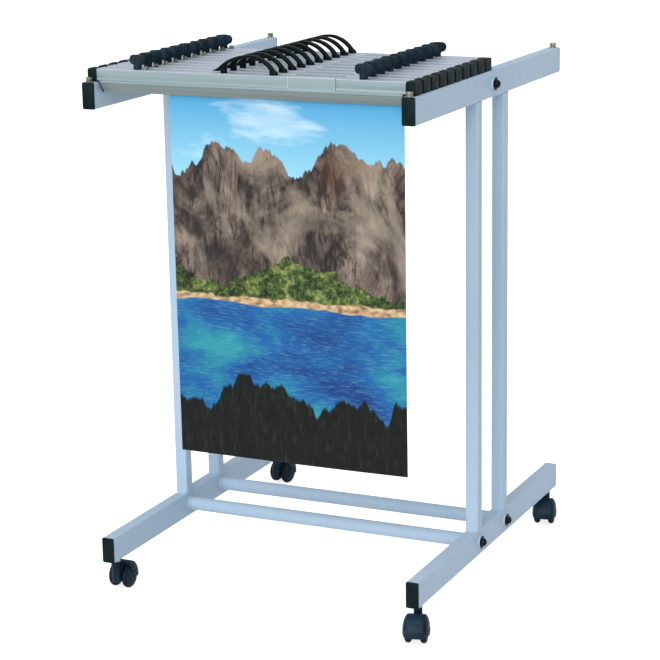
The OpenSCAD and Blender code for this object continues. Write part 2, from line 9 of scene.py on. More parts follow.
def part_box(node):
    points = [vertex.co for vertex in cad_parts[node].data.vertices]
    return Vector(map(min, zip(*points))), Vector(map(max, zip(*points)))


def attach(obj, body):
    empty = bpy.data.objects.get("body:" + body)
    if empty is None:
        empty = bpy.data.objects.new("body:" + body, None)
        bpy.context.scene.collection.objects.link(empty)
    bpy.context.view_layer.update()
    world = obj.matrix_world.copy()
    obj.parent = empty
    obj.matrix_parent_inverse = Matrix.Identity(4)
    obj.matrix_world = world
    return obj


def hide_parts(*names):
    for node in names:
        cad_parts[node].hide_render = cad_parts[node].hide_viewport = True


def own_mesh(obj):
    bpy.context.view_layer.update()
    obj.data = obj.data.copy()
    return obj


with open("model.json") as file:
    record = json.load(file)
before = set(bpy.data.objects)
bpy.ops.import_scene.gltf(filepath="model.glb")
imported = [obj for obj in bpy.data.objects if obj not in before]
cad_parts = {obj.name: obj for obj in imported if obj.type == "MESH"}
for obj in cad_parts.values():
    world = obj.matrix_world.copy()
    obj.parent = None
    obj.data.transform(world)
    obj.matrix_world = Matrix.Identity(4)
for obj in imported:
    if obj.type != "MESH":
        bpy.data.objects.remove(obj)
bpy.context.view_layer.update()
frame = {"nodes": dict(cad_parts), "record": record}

NODES = frame["nodes"]
MM = 0.001

# ---------------------------------------------------------------- positions


def middle(node, axis):
    """Middle of a node's box along axis 0, 1 or 2, in metres."""
    lo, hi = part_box(node)
    return (lo[axis] + hi[axis]) / 2


def linked(name, data):
    o = bpy.data.objects.new(name, data)
    bpy.context.scene.collection.objects.link(o)
    return o


LEFT_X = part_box("arm_left")[0].x
RIGHT_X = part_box("arm_right")[1].x
ARM_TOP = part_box("arm_left")[1].z
MID_X = (LEFT_X + RIGHT_X) / 2
MID_Y = middle("arm_left", 1)
BINDERS = 10
PITCH = 38 * MM
CASTERS = ("fl", "fr", "rl", "rr")

# Sizes of one binder in millimetres, about its own origin on the arm tops
BAND_H = 24  # top of the channel
BAND_Y = 14.2  # half of the channel's width
LIP_Y = 15
WALL = 1.8
CHANNEL_X = 308  # half of the channel's length
SKIRT_X = 302  # half of the skirts' length at their top, shorter by SLANT at their foot
SKIRT_H = 19
SKIRT_Y = 7.3
SLANT = 4.2
CAP_LEN = 19
KNOB_X = (-229, 223)
KNOB_TURN = ((-12, 24, 12, -8, 28, 14, -20, 6, 22, 10), (-10, 18, 26, 8, -14, 20, 12, 24, -6, 32))
EAR_Z = 17.4  # middle of the knob's ears over the band
EAR_R = 9.4
GUIDE_X = -211.7
LABEL_X = 82
LABEL_W = 93

# ------------------------------------------------------------------- camera

CAM_POS = Vector((1.7424 + MID_X, -3.7914 + MID_Y, 1.5181))
CAM_YAW, CAM_PITCH, CAM_ROLL = 0.434, -0.246, -0.017
CAM_LENS = 117.68


def make_camera():
    """Camera of the photograph. Yaw is about Z from looking along Y, pitch and roll follow, in radians."""
    cp, sp = math.cos(CAM_PITCH), math.sin(CAM_PITCH)
    cy, sy = math.cos(CAM_YAW), math.sin(CAM_YAW)
    fwd = Vector((-sy * cp, cy * cp, sp))
    right = Vector((cy, sy, 0))
    up = right.cross(fwd)
    cr, sr = math.cos(CAM_ROLL), math.sin(CAM_ROLL)
    data = bpy.data.cameras.new("camera")
    data.lens = CAM_LENS
    data.sensor_width = 36
    data.clip_end = 200
    cam = linked("camera", data)
    m = Matrix((right * cr + up * sr, up * cr - right * sr, -fwd)).transposed().to_4x4()
    m.translation = CAM_POS
    cam.matrix_world = m
    bpy.context.scene.camera = cam


make_camera()

# ---------------------------------------------------------------- materials


def lin(r, g, b):
    """Linear colour of an sRGB one given from 0 to 255."""
    def one(c):
        c /= 255
        return c / 12.92 if c <= 0.04045 else ((c + 0.055) / 1.055) ** 2.4
    return (one(r), one(g), one(b), 1)


class Mat:
    """A material under construction, with short names for its nodes."""

    def __init__(self, name, rough, metal=0.0, spec=0.5):
        self.m = bpy.data.materials.new(name)
        self.m.use_nodes = True
        self.t = self.m.node_tree
        self.b = self.t.nodes["Principled BSDF"]
        self.b.inputs["Roughness"].default_value = rough
        self.b.inputs["Metallic"].default_value = metal
        self.b.inputs["Specular IOR Level"].default_value = spec
        self.co = self.add("ShaderNodeTexCoord").outputs["Object"]

    def add(self, kind, **props):
        n = self.t.nodes.new(kind)
        for k, v in props.items():
            setattr(n, k, v)
        return n

    def put(self, socket, value):
        if hasattr(value, "links"):
            self.t.links.new(value, socket)
        else:
            socket.default_value = value

    def scaled(self, x, y, z, at=(0, 0, 0)):
        n = self.add("ShaderNodeMapping")
        n.inputs["Scale"].default_value = (x, y, z)
        n.inputs["Location"].default_value = at
        self.put(n.inputs["Vector"], self.co)
        return n.outputs["Vector"]

    def noise(self, vec, scale, detail=2.0, rough=0.5, dist=0.0):
        n = self.add("ShaderNodeTexNoise")
        self.put(n.inputs["Vector"], vec)
        n.inputs["Scale"].default_value = scale
        n.inputs["Detail"].default_value = detail
        n.inputs["Roughness"].default_value = rough
        n.inputs["Distortion"].default_value = dist
        return n.outputs["Fac"]

    def ramp(self, fac, stops):
        n = self.add("ShaderNodeValToRGB")
        e = n.color_ramp.elements
        while len(e) < len(stops):
            e.new(0.5)
        for el, (pos, rgb) in zip(e, stops):
            el.position = pos
            el.color = lin(*rgb)
        self.put(n.inputs["Fac"], fac)
        return n.outputs["Color"]

    def remap(self, fac, a, b, c, d):
        n = self.add("ShaderNodeMapRange")
        for s, v in zip(("Value", "From Min", "From Max", "To Min", "To Max"), (fac, a, b, c, d)):
            self.put(n.inputs[s], v)
        return n.outputs["Result"]

    def calc(self, op, a, b=0.0):
        n = self.add("ShaderNodeMath", operation=op)
        self.put(n.inputs[0], a)
        self.put(n.inputs[1], b)
        return n.outputs[0]

    def mix(self, fac, a, b):
        n = self.add("ShaderNodeMix", data_type="RGBA")
        self.put(n.inputs["Factor"], fac)
        self.put(n.inputs[6], a)
        self.put(n.inputs[7], b)
        return n.outputs[2]

    def edges(self, size):
        """1 at edges, fading out within size in metres of them, and 0 on flat faces."""
        bev = self.add("ShaderNodeBevel", samples=4)
        bev.inputs["Radius"].default_value = size
        geo = self.add("ShaderNodeNewGeometry")
        dot = self.add("ShaderNodeVectorMath", operation="DOT_PRODUCT")
        self.put(dot.inputs[0], bev.outputs["Normal"])
        self.put(dot.inputs[1], geo.outputs["Normal"])
        return self.remap(dot.outputs["Value"], 0.985, 0.86, 0, 1)

    def bump(self, height, strength, dist):
        n = self.add("ShaderNodeBump")
        n.inputs["Strength"].default_value = strength
        n.inputs["Distance"].default_value = dist
        self.put(n.inputs["Height"], height)
        self.put(self.b.inputs["Normal"], n.outputs["Normal"])

    def base(self, color):
        self.put(self.b.inputs["Base Color"], color)

    def rough(self, value):
        self.put(self.b.inputs["Roughness"], value)


def powder_coat():
    a = Mat("powder_coat", 0.42, spec=0.35)
    cloud = a.noise(a.co, 3.0, 2)
    speck = a.noise(a.co, 260, 2)
    tone = a.mix(a.remap(cloud, 0.35, 0.65, 0, 1), lin(160, 183, 204), lin(167, 188, 208))
    tone = a.mix(a.remap(speck, 0.62, 0.74, 0, 0.25), tone, lin(184, 200, 215))
    # Edges blend towards a lighter blue-grey: painted highlight along the edges.
    tone = a.mix(a.calc("MULTIPLY", a.edges(0.0012), 0.35), tone, lin(198, 212, 226))
    a.base(tone)
    a.rough(a.remap(a.noise(a.co, 45, 3), 0.3, 0.7, 0.36, 0.48))
    a.bump(a.noise(a.co, 900, 2), 0.12, 0.0002)
    return a.m


def brushed(name, low, high, rough, metal):
    a = Mat(name, rough, metal)
    lines = a.noise(a.scaled(6, 1400, 1400), 1.0, 3, 0.6)
    wide = a.noise(a.scaled(1.2, 60, 60), 1.0, 2)
    tone = a.calc("ADD", a.calc("MULTIPLY", lines, 0.6), a.calc("MULTIPLY", wide, 0.4))
    a.base(a.mix(a.remap(tone, 0.35, 0.65, 0, 1), lin(*low), lin(*high)))
    a.rough(a.remap(lines, 0.3, 0.7, rough - 0.06, rough + 0.06))
    a.bump(lines, 0.10, 0.0001)
    return a.m


def plastic(name, low, high, rough, grain, spec, edge_highlight):
    a = Mat(name, rough, spec=spec)
    cloud = a.noise(a.co, 30, 3)
    tone = a.mix(a.remap(cloud, 0.35, 0.65, 0, 1), lin(*low), lin(*high))
    # Edges blend towards a lighter colour: painted highlight along the edges.
    a.base(a.mix(a.calc("MULTIPLY", a.edges(0.0008), 0.3), tone, lin(*edge_highlight)))
    a.rough(a.remap(a.noise(a.co, 160, 3), 0.3, 0.7, rough - 0.07, rough + 0.07))
    a.bump(a.noise(a.co, grain, 2), 0.18, 0.0002)
    return a.m


def metal(name, low, high, rough):
    a = Mat(name, rough, 0.85)
    grain = 500
    cloud = a.noise(a.co, 90, 3)
    a.base(a.mix(a.remap(cloud, 0.35, 0.65, 0, 1), lin(*low), lin(*high)))
    a.rough(a.remap(a.noise(a.co, grain, 3), 0.3, 0.7, rough - 0.08, rough + 0.08))
    a.bump(a.noise(a.co, grain, 2), 0.12, 0.0001)
    return a.m


def printed_picture(x0, z0, w, h):
    """A generic lake below a range of hills, in level bands, printed on semi-gloss paper."""
    a = Mat("picture", 0.34, spec=0.25)
    sep = a.add("ShaderNodeSeparateXYZ")
    a.put(sep.inputs[0], a.co)
    v = a.remap(sep.outputs["Z"], z0, z0 + h, 0, 1)

    def ridge(scale, seed, low, high, detail):
        row = a.scaled(scale, 0, 0, (seed, seed * 0.37, 0))
        return a.remap(a.noise(row, 1.0, detail, 0.55), 0.3, 0.7, low, high)

    def below(line, soft=0.004):
        return a.remap(a.calc("SUBTRACT", line, v), 0, soft, 0, 1)

    cloud = a.noise(a.scaled(4, 4, 15, (2.2, 0, 1.1)), 1.0, 6, 0.6, 0.4)
    sky = a.mix(a.remap(v, 0.74, 1.0, 0, 1), lin(150, 206, 224), lin(60, 150, 200))
    sky = a.mix(a.remap(cloud, 0.54, 0.74, 0, 0.8), sky, lin(232, 242, 246))

    crag = a.noise(a.scaled(11, 11, 7, (5.1, 0, 3.3)), 1.0, 11, 0.66, 0.9)
    fine = a.noise(a.scaled(60, 60, 34, (1.3, 0, 0.4)), 1.0, 6, 0.7, 0.6)
    rock = a.calc("ADD", a.calc("MULTIPLY", crag, 0.68), a.calc("MULTIPLY", fine, 0.32))
    stone = a.ramp(rock, [(0.36, (16, 14, 15)), (0.45, (62, 54, 50)), (0.53, (104, 92, 84)),
                          (0.64, (150, 134, 120)), (0.74, (176, 164, 152))])
    crack = a.noise(a.scaled(16, 16, 4, (9.3, 0, 2)), 1.0, 5, 0.6, 1.4)
    seam = a.calc("ABSOLUTE", a.calc("SUBTRACT", crack, 0.5))
    stone = a.mix(a.remap(seam, 0.0, 0.03, 0.8, 0), stone, lin(18, 15, 16))
    plane = a.noise(a.scaled(5, 5, 3.2, (7.7, 0, 1.9)), 1.0, 5, 0.55, 1.2)
    stone = a.mix(a.remap(plane, 0.42, 0.50, 0.72, 0), stone, lin(20, 17, 20))
    stone = a.mix(a.remap(plane, 0.58, 0.66, 0, 0.35), stone, lin(196, 180, 160))
    rust = a.noise(a.scaled(7, 7, 5, (8.8, 0, 2.0)), 1.0, 5)
    stone = a.mix(a.remap(rust, 0.56, 0.72, 0, 0.45), stone, lin(112, 64, 40))

    leaf = a.calc("ADD", a.calc("MULTIPLY", a.noise(a.scaled(120, 120, 120), 1.0, 4, 0.7), 0.6),
                  a.calc("MULTIPLY", a.noise(a.scaled(22, 22, 30, (0, 0, 5)), 1.0, 4, 0.6), 0.4))
    wood = a.ramp(leaf, [(0.38, (14, 24, 12)), (0.47, (48, 66, 30)), (0.54, (86, 104, 50)),
                         (0.64, (150, 152, 92))])

    bay = a.noise(a.scaled(5, 5, 12, (3.0, 0, 6.0)), 1.0, 4, 0.5, 0.5)
    glint = a.noise(a.scaled(60, 60, 420), 1.0, 3, 0.6)
    water = a.ramp(bay, [(0.34, (12, 56, 120)), (0.50, (16, 88, 150)), (0.62, (30, 126, 150)),
                         (0.74, (60, 156, 164))])
    water = a.mix(a.remap(glint, 0.5, 0.75, 0, 0.35), water, lin(110, 180, 196))

    sand = a.ramp(a.noise(a.scaled(70, 70, 110), 1.0, 4), [(0.3, (120, 88, 60)), (0.6, (206, 176, 136))])
    reed = a.noise(a.scaled(120, 120, 34, (0, 0, 9)), 1.0, 6, 0.72, 0.5)
    dark = a.ramp(reed, [(0.40, (0, 2, 3)), (0.56, (10, 17, 13)), (0.68, (34, 46, 28)), (0.8, (72, 84, 52))])

    pic = a.mix(below(ridge(8, 4.0, 0.74, 0.93, 7)), sky, stone)
    pic = a.mix(below(ridge(6, 11.0, 0.46, 0.58, 6)), pic, wood)
    pic = a.mix(below(ridge(14, 2.5, 0.438, 0.462, 4)), pic, sand)
    pic = a.mix(below(ridge(9, 7.7, 0.425, 0.440, 3)), pic, water)
    pic = a.mix(below(ridge(16, 17.0, 0.13, 0.24, 9), 0.008), pic, dark)
    a.base(pic)
    a.rough(a.remap(a.noise(a.co, 220, 2), 0.3, 0.7, 0.30, 0.40))
    a.bump(a.noise(a.co, 1300, 2), 0.05, 0.00008)
    return a.m


PAINT = powder_coat()
ALU = brushed("anodised", (132, 151, 156), (158, 175, 178), 0.40, 0.35)
# Lighter, bluer copy of the anodised finish for the band's top faces: painted sky reflection.
ALU_TOP_PAINTED_SHEEN = brushed("anodised_top_painted_sheen", (160, 170, 188), (196, 204, 216), 0.34, 0.35)
# Darker copy of the anodised finish for the downward-facing skirts: painted shade.
ALU_SKIRT_PAINTED_SHADE = brushed("anodised_painted_shade", (104, 118, 118), (134, 146, 144), 0.42, 0.4)
ALU_BRIGHT = brushed("anodised_bright", (164, 182, 190), (188, 202, 210), 0.30, 0.35)
# The last colour of each plastic is its painted edge highlight.
BLACK = plastic("black_plastic", (9, 23, 24), (16, 34, 36), 0.48, 700, 0.08, (40, 60, 64))
HANDLE = plastic("handle_plastic", (2, 10, 11), (5, 17, 19), 0.34, 500, 0.09, (22, 40, 44))
KNOB = plastic("knob_plastic", (14, 31, 41), (24, 44, 56), 0.42, 900, 0.14, (60, 84, 98))
CASTER = plastic("caster_plastic", (10, 28, 40), (22, 46, 60), 0.38, 500, 0.12, (52, 76, 90))
TREAD = plastic("wheel_tread", (6, 14, 18), (12, 24, 30), 0.5, 900, 0.15, (30, 44, 50))
BOLT = metal("black_bolt", (10, 20, 26), (26, 40, 48), 0.40)
BRASS = metal("passivated_brass", (104, 112, 94), (156, 160, 138), 0.36)
STEEL = metal("zinc_plate", (150, 162, 172), (184, 194, 202), 0.32)
PAPER = plastic("paper_back", (222, 224, 222), (226, 228, 226), 0.55, 900, 0.3, (232, 233, 231))

# ------------------------------------------------------------ pieces in mesh


def piece(name, bm, mats, body, nodes=(), at=(0, 0, 0), sharp=40):
    """Finishes a bmesh in local millimetres as a piece that rides on a body and stands for nodes."""
    bmesh.ops.scale(bm, vec=(MM, MM, MM), verts=bm.verts)
    bmesh.ops.translate(bm, vec=at, verts=bm.verts)
    bmesh.ops.recalc_face_normals(bm, faces=bm.faces)
    me = bpy.data.meshes.new(name)
    bm.to_mesh(me)
    bm.free()
    for m in mats:
        me.materials.append(m)
    me.shade_smooth()
    me.set_sharp_from_angle(angle=math.radians(sharp))
    o = linked(name, me)
    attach(o, body)
    for n in nodes:
        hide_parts(n)
    return o


def round_off(bm, edges, width, segments):
    """Rounds edges. It comes last in a mesh, because faces made after a bevel are kept in a varying order."""
    bmesh.ops.bevel(bm, geom=edges, offset=width, segments=segments, profile=0.5,
                    affect="EDGES", clamp_overlap=True)


def sharp_edges(bm, keep):
    """Edges of more than 50 degrees that keep accepts."""
    lim = math.radians(50)
    return [e for e in bm.edges if len(e.link_faces) == 2 and e.calc_face_angle(0) > lim and keep(e)]


def prism(bm, outline, lo, hi, axis="x", mat=0):
    """Closed prism from a 2D outline. lo and hi are its ends, numbers or functions of the outline's point."""
    def place(p, t):
        t = t(p) if callable(t) else t
        return {"x": (t, p[0], p[1]), "y": (p[0], t, p[1]), "z": (p[0], p[1], t)}[axis]
    a = [bm.verts.new(place(p, lo)) for p in outline]
    b = [bm.verts.new(place(p, hi)) for p in outline]
    faces = [bm.faces.new(a), bm.faces.new(b[::-1])]
    for i in range(len(a)):
        j = (i + 1) % len(a)
        faces.append(bm.faces.new((a[j], a[i], b[i], b[j])))
    for f in faces:
        f.material_index = mat
    return faces


def arc(cx, cy, r, a0, a1, n):
    """Points of n steps around a centre, from angle a0 to a1 in degrees."""
    return [(cx + r * math.cos(math.radians(a0 + (a1 - a0) * i / n)),
             cy + r * math.sin(math.radians(a0 + (a1 - a0) * i / n))) for i in range(n + 1)]


def softened(points, r, n=3):
    """The outline with each corner cut back by up to r and rounded."""
    out = []
    for i, p in enumerate(points):
        p = Vector(p)
        a, b = Vector(points[i - 1]) - p, Vector(points[(i + 1) % len(points)]) - p
        c = min(r, a.length * 0.45, b.length * 0.45)
        s, e = p + a.normalized() * c, p + b.normalized() * c
        for k in range(n + 1):
            t = k / n
            out.append(tuple(s * (1 - t) ** 2 + p * 2 * t * (1 - t) + e * t ** 2))
    return out


def rounded(x, y, a, b, r, n):
    """Rectangle about (x, y) that reaches a and b each way, with its corners rounded."""
    return softened([(x - a, y - b), (x + a, y - b), (x + a, y + b), (x - a, y + b)], r, n)


def lathe(bm, profile, steps, place):
    """Closed solid of revolution. profile is [(radius, height)] from axis to axis or as a closed ring."""
    ring = profile[0][0] > 1e-6
    rows = []
    for r, h in profile:
        if r < 1e-6:
            rows.append([bm.verts.new(place(Vector((0, 0, h))))])
        else:
            rows.append([bm.verts.new(place(Vector((r * math.cos(2 * math.pi * i / steps),
                                                    r * math.sin(2 * math.pi * i / steps), h))))
                         for i in range(steps)])
    pairs = list(zip(rows, rows[1:])) + ([(rows[-1], rows[0])] if ring else [])
    faces = []
    for a, b in pairs:
        for i in range(steps):
            j = (i + 1) % steps
            q = [a[i % len(a)], a[j % len(a)], b[j % len(b)], b[i % len(b)]]
            q = [v for n, v in enumerate(q) if v not in q[:n]]
            if len(q) > 2:
                faces.append(bm.faces.new(q))
    return faces


def loft(bm, rings):
    """Closed solid through rings with the same number of points, flat at both ends."""
    rows = [[bm.verts.new(p) for p in r] for r in rings]
    bm.faces.new(rows[0][::-1])
    bm.faces.new(rows[-1])
    for a, b in zip(rows, rows[1:]):
        for i in range(len(a)):
            j = (i + 1) % len(a)
            bm.faces.new((a[i], a[j], b[j], b[i]))


# ------------------------------------------------------------------ binders


def channel_mesh():
    """Grooved band and two tapered skirts, with the lip between them in the band's finish. The skirts take a
    darker copy of the finish as painted shade, and the band's top faces a lighter copy as painted sky
    reflection.
    """
    bm = bmesh.new()
    half = [(0, BAND_H), (5.6, BAND_H), (5.75, BAND_H - 0.7), (7.05, BAND_H - 0.7), (7.2, BAND_H)]
    half += arc(BAND_Y - 1.5, BAND_H - 1.5, 1.5, 90, 0, 5)
    half += [(BAND_Y, 9.2), (BAND_Y - 0.25, 8.9), (BAND_Y - 0.25, 8.3), (BAND_Y, 8.0), (BAND_Y, WALL + 1.0),
             (BAND_Y - WALL, WALL + 1.0), (BAND_Y - WALL, BAND_H - WALL), (0, BAND_H - WALL)]
    outline = half + [(-y, z) for y, z in reversed(half[1:-1])]
    prism(bm, outline, -CHANNEL_X, CHANNEL_X)
    tan = (LIP_Y - 1.4 - SKIRT_Y) / (SKIRT_H - 1.6)
    foot_in = SKIRT_Y - WALL * math.hypot(1, tan)

    def end(p):
        """Right end of the lip and the skirt, slanted below the arm tops."""
        return SKIRT_X + (SLANT * p[1] / SKIRT_H if p[1] < 0 else 0)

    lip = softened([(BAND_Y - WALL, 4.8), (BAND_Y - 0.8, 4.8), (BAND_Y - 0.8, 2.4), (LIP_Y, 2.2),
                    (LIP_Y, -0.8), (LIP_Y - 1.4, -1.6), (BAND_Y - WALL, -1.4)], 0.3, 2)
    skirt = softened([(BAND_Y - WALL, -1.3), (LIP_Y - 1.5, -1.55), (SKIRT_Y, -SKIRT_H),
                      (foot_in, -SKIRT_H), (foot_in + tan * (SKIRT_H - 1.9), -1.9)], 0.35, 2)
    # Top faces get material 2, the lighter copy of the finish: painted sky reflection.
    for f in bm.faces:
        if f.calc_center_median().z > BAND_H - 0.9 and abs(f.normal.x) < 0.5:
            f.material_index = 2
    # The skirts get material 1, the darker copy of the finish: painted shade.
    for s in (1, -1):
        for shape, mat in ((lip, 0), (skirt, 1)):
            pts = [(s * y, z) for y, z in shape]
            prism(bm, pts, lambda p: -end(p), end, mat=mat)
    return bm


def cap_mesh():
    """Both end caps with their base plates and slanted lugs."""
    bm = bmesh.new()
    for s in (-1, 1):
        top = BAND_H + 0.3
        outline = [(-15, 0), (15, 0), (15, top - 4.6)] + arc(10.4, top - 4.6, 4.6, 0, 90, 6)[1:] \
            + arc(-10.4, top - 4.6, 4.6, 90, 180, 6)
        prism(bm, outline, s * CHANNEL_X, s * (CHANNEL_X + CAP_LEN))
        prism(bm, softened([(-BAND_Y, 0), (BAND_Y, 0), (BAND_Y, 1.7), (-BAND_Y, 1.7)], 0.3, 2),
              s * (SKIRT_X + 0.1), s * (CHANNEL_X + 0.5))
        lug = [(s * (SKIRT_X + dx), z) for dx, z in
               ((0.1, 1.7), (2.6, 1.7), (2.6, 0), (2.6 - SLANT, -SKIRT_H), (0.1 - SLANT, -SKIRT_H), (0.1, 0))]
        for side in (-1, 1):
            prism(bm, lug, side * 0.9, side * (SKIRT_Y + 2), axis="y")

    def on_face(e):
        return all(abs(v.co.x) > CHANNEL_X + CAP_LEN - 0.1 for v in e.verts)

    def on_side(e):
        return all(abs(v.co.x) > CHANNEL_X - 0.1 and abs(v.co.y) > 14.9 for v in e.verts)

    def on_seam(e):
        return all(abs(abs(v.co.x) - CHANNEL_X) < 0.01 and v.co.z > 2 for v in e.verts)

    round_off(bm, sharp_edges(bm, on_face), 1.6, 4)
    round_off(bm, sharp_edges(bm, lambda e: on_side(e) or on_seam(e)), 0.6, 2)
    return bm


def handle_point(t, outer):
    """Point of the handle's outer or inner curve at t from 0, its right foot, to 1, its left foot."""
    if outer:
        path = [(57.8, 24), (57.8, 27.2), (56.6, 29.6)] + arc(-4, -8.5, 69.5, 36, 62, 9) \
            + arc(3, -37, 95.5, 83, 127, 18) + [(-57.2, 34.6), (-56.4, 31), (-56, 27), (-56, 24)]
    else:
        path = [(41.7, 24), (41.7, 27), (41.9, 31)] + arc(-4, -8.5, 62, 42, 131, 28) \
            + [(-44.4, 35), (-44.4, 30), (-44.4, 24)]
    path = [(x - 1.5, z) for x, z in path]
    lengths = [0.0]
    for a, b in zip(path, path[1:]):
        lengths.append(lengths[-1] + math.dist(a, b))
    s = t * lengths[-1]
    for i in range(len(path) - 1):
        if s <= lengths[i + 1] + 1e-9:
            u = (s - lengths[i]) / (lengths[i + 1] - lengths[i])
            (xa, za), (xb, zb) = path[i], path[i + 1]
            return Vector((xa * (1 - u) + xb * u, za * (1 - u) + zb * u))
    return Vector(path[-1])


def strap_ring(outer, inner, deep, power=0.62):
    """Rounded section between an outer and an inner point, deep across."""
    n = 18
    mid, half = (outer + inner) / 2, (outer - inner) / 2
    ring = []
    for i in range(n):
        a = 2 * math.pi * i / n
        c, s = math.cos(a), math.sin(a)
        u = math.copysign(abs(c) ** power, c)
        w = math.copysign(abs(s) ** power, s)
        ring.append((mid.x + half.x * u, deep / 2 * w, mid.y + half.y * u))
    return ring


def handle_mesh():
    """Bow handle: a strap with rounded edges on two feet, and a pointed toe on the left."""
    steps = 44
    bm = bmesh.new()
    loft(bm, [strap_ring(handle_point(i / steps, True), handle_point(i / steps, False), 9.6)
              for i in range(steps + 1)])
    top = [(-47, 44.9), (-51, 42.5), (-55, 39.8), (-59, 36.7), (-62.5, 33.9), (-66, 31.7), (-69.5, 30.0),
           (-72.5, 29.0), (-74.9, 28.4)]
    low = [(-49, 33.5), (-52, 30.5), (-55, 28.2), (-58.5, 27.4), (-62, 27.2), (-65.5, 27.2), (-69, 27.2),
           (-72.3, 27.3), (-74.8, 27.5)]
    wide = [8.6, 9.2, 9.5, 9.6, 9.4, 8.8, 7.6, 5.8, 3.4]
    loft(bm, [strap_ring(Vector(a), Vector(b), w, power=0.6) for a, b, w in zip(top, low, wide)])
    return bm


def knob_mesh(turn):
    """Two-eared wing knob around a round hub, lofted in level rings."""
    rings, n = [], 56
    turn = math.radians(turn)
    levels = [(-0.5, 7.6), (2, 7.6), (5, 7.6), (8, 7.65), (9, 7.7), (10, 7.8), (11.5, 7.8), (13.5, 7.8),
              (15.5, 7.8), (EAR_Z, 7.8), (19.2, 7.8), (21, 7.8), (22.6, 7.75), (24, 7.7), (25, 7.6),
              (25.8, 7.45), (26.3, 7.2), (26.6, 6.8)]
    for z, hub in levels:
        d = 1 - ((z - EAR_Z) / EAR_R) ** 2
        reach = 9.2 + EAR_R * math.sqrt(d) if d > 0 else 0
        thick = 3.7 * min(1.0, 0.55 + 0.6 * math.sqrt(max(d, 0)))
        ring = []
        for i in range(n):
            a = 2 * math.pi * i / n
            c, s = abs(math.cos(a)), abs(math.sin(a))
            r = hub
            if reach > 0:
                wing = ((c / reach) ** 3.4 + (s / thick) ** 3.4) ** (-1 / 3.4)
                r = (hub ** 9 + wing ** 9) ** (1 / 9)
            ring.append((r * math.cos(a + turn), r * math.sin(a + turn), BAND_H + z))
        rings.append(ring)
    for z, r in ((26.75, 6.0), (26.75, 5.2), (26.2, 4.7), (26.1, 3.0), (26.3, 1.2)):
        rings.append([(r * math.cos(2 * math.pi * i / n + turn), r * math.sin(2 * math.pi * i / n + turn),
                       BAND_H + z) for i in range(n)])
    bm = bmesh.new()
    loft(bm, rings)
    return bm


def guide_mesh():
    """Hexagon guide screw on a thin washer."""
    bm = bmesh.new()

    def at(p):
        return (p.x + GUIDE_X, p.y, p.z + BAND_H)
    lathe(bm, [(0, 0.02), (5.3, 0.02), (5.5, 0.2), (5.5, 0.7), (5.3, 0.9), (0, 0.9)], 28, at)
    hexagon = arc(GUIDE_X, 0, 4.8, 0, 360, 6)[:-1]
    head = prism(bm, hexagon, BAND_H + 0.9, BAND_H + 5.2, axis="z")
    lathe(bm, [(0, 5.1), (2.9, 5.1), (2.9, 6.1), (2.5, 6.5), (0, 6.5)], 20, at)
    round_off(bm, list(head[1].edges), 0.7, 2)
    return bm


def label_mesh():
    """Label holder: back plate, hooked top, rails and end stops, with a clear-edged strip in it."""
    bm = bmesh.new()
    y0 = -BAND_Y - 0.05
    x0, x1 = LABEL_X, LABEL_X + LABEL_W
    z0, z1 = WALL + 0.55, BAND_H + 0.05
    back = [(y0, z0), (y0, z1), (y0 + 3.1, z1), (y0 + 3.1, z1 + 0.9), (y0 - 1.9, z1 + 0.9),
            (y0 - 1.9, z1 - 1.0), (y0 - 1.4, z1 - 1.0), (y0 - 1.2, z1 - 0.3), (y0 - 0.9, z1 - 0.3),
            (y0 - 0.9, z0 + 0.6), (y0 - 1.2, z0 + 0.6), (y0 - 1.3, z0 + 1.2), (y0 - 1.6, z0 + 1.2),
            (y0 - 1.6, z0)]
    prism(bm, back, x0, x1)
    strip = [(y0 - 0.95, z0 + 0.8), (y0 - 0.95, z1 - 0.5), (y0 - 1.2, z1 - 0.5), (y0 - 1.2, z0 + 0.8)]
    prism(bm, strip, x0 + 1.5, x1 - 0.9, mat=1)
    stop = softened([(y0, z0), (y0, z1 + 0.85), (y0 - 1.95, z1 + 0.85), (y0 - 1.95, z0)], 0.3, 2)
    for a, b in ((x0, x0 + 1.6), (x1 - 1, x1)):
        prism(bm, stop, a, b)
    return bm


for k in range(1, BINDERS + 1):
    at = (MID_X, middle("channel_1", 1) + (k - 1) * PITCH, ARM_TOP)
    body = f"binder_{k}"

    def stands(node):
        """The first binder is made of many nodes, each of the others of one."""
        return (node,) if k == 1 else (body,)

    piece(f"channel_body_{k}", channel_mesh(), (ALU, ALU_SKIRT_PAINTED_SHADE, ALU_TOP_PAINTED_SHEEN), body,
          stands("channel_1"), at)
    piece(f"caps_{k}", cap_mesh(), (BLACK,), body, stands("end_caps_1"), at)
    piece(f"bow_handle_{k}", handle_mesh(), (HANDLE,), body, stands("handle_1"), at, 60)
    piece(f"label_strip_{k}", label_mesh(), (ALU_BRIGHT, ALU), body,
          stands("label_holder_1"), at)
    piece(f"hex_guide_{k}", guide_mesh(), (BRASS,), body, stands("guide_screws_1"), at)
    for side, x, turns in zip(("left", "right"), KNOB_X, KNOB_TURN):
        rider = f"knob_{side}" if k == 1 else body
        piece(f"wing_{side}_{k}", knob_mesh(turns[k - 1]), (KNOB,), rider,
              stands(f"knob_{side}_1"), (at[0] + x * MM, at[1], at[2]), 60)

# ------------------------------------------------------- tube ends and bolts


TUBE_X = 12.5  # half of the tubes' width
TUBE_Z = 25  # half of their height
PLUG_IN = 3  # the plug is this much smaller each way
PLATE_Y = 2.5


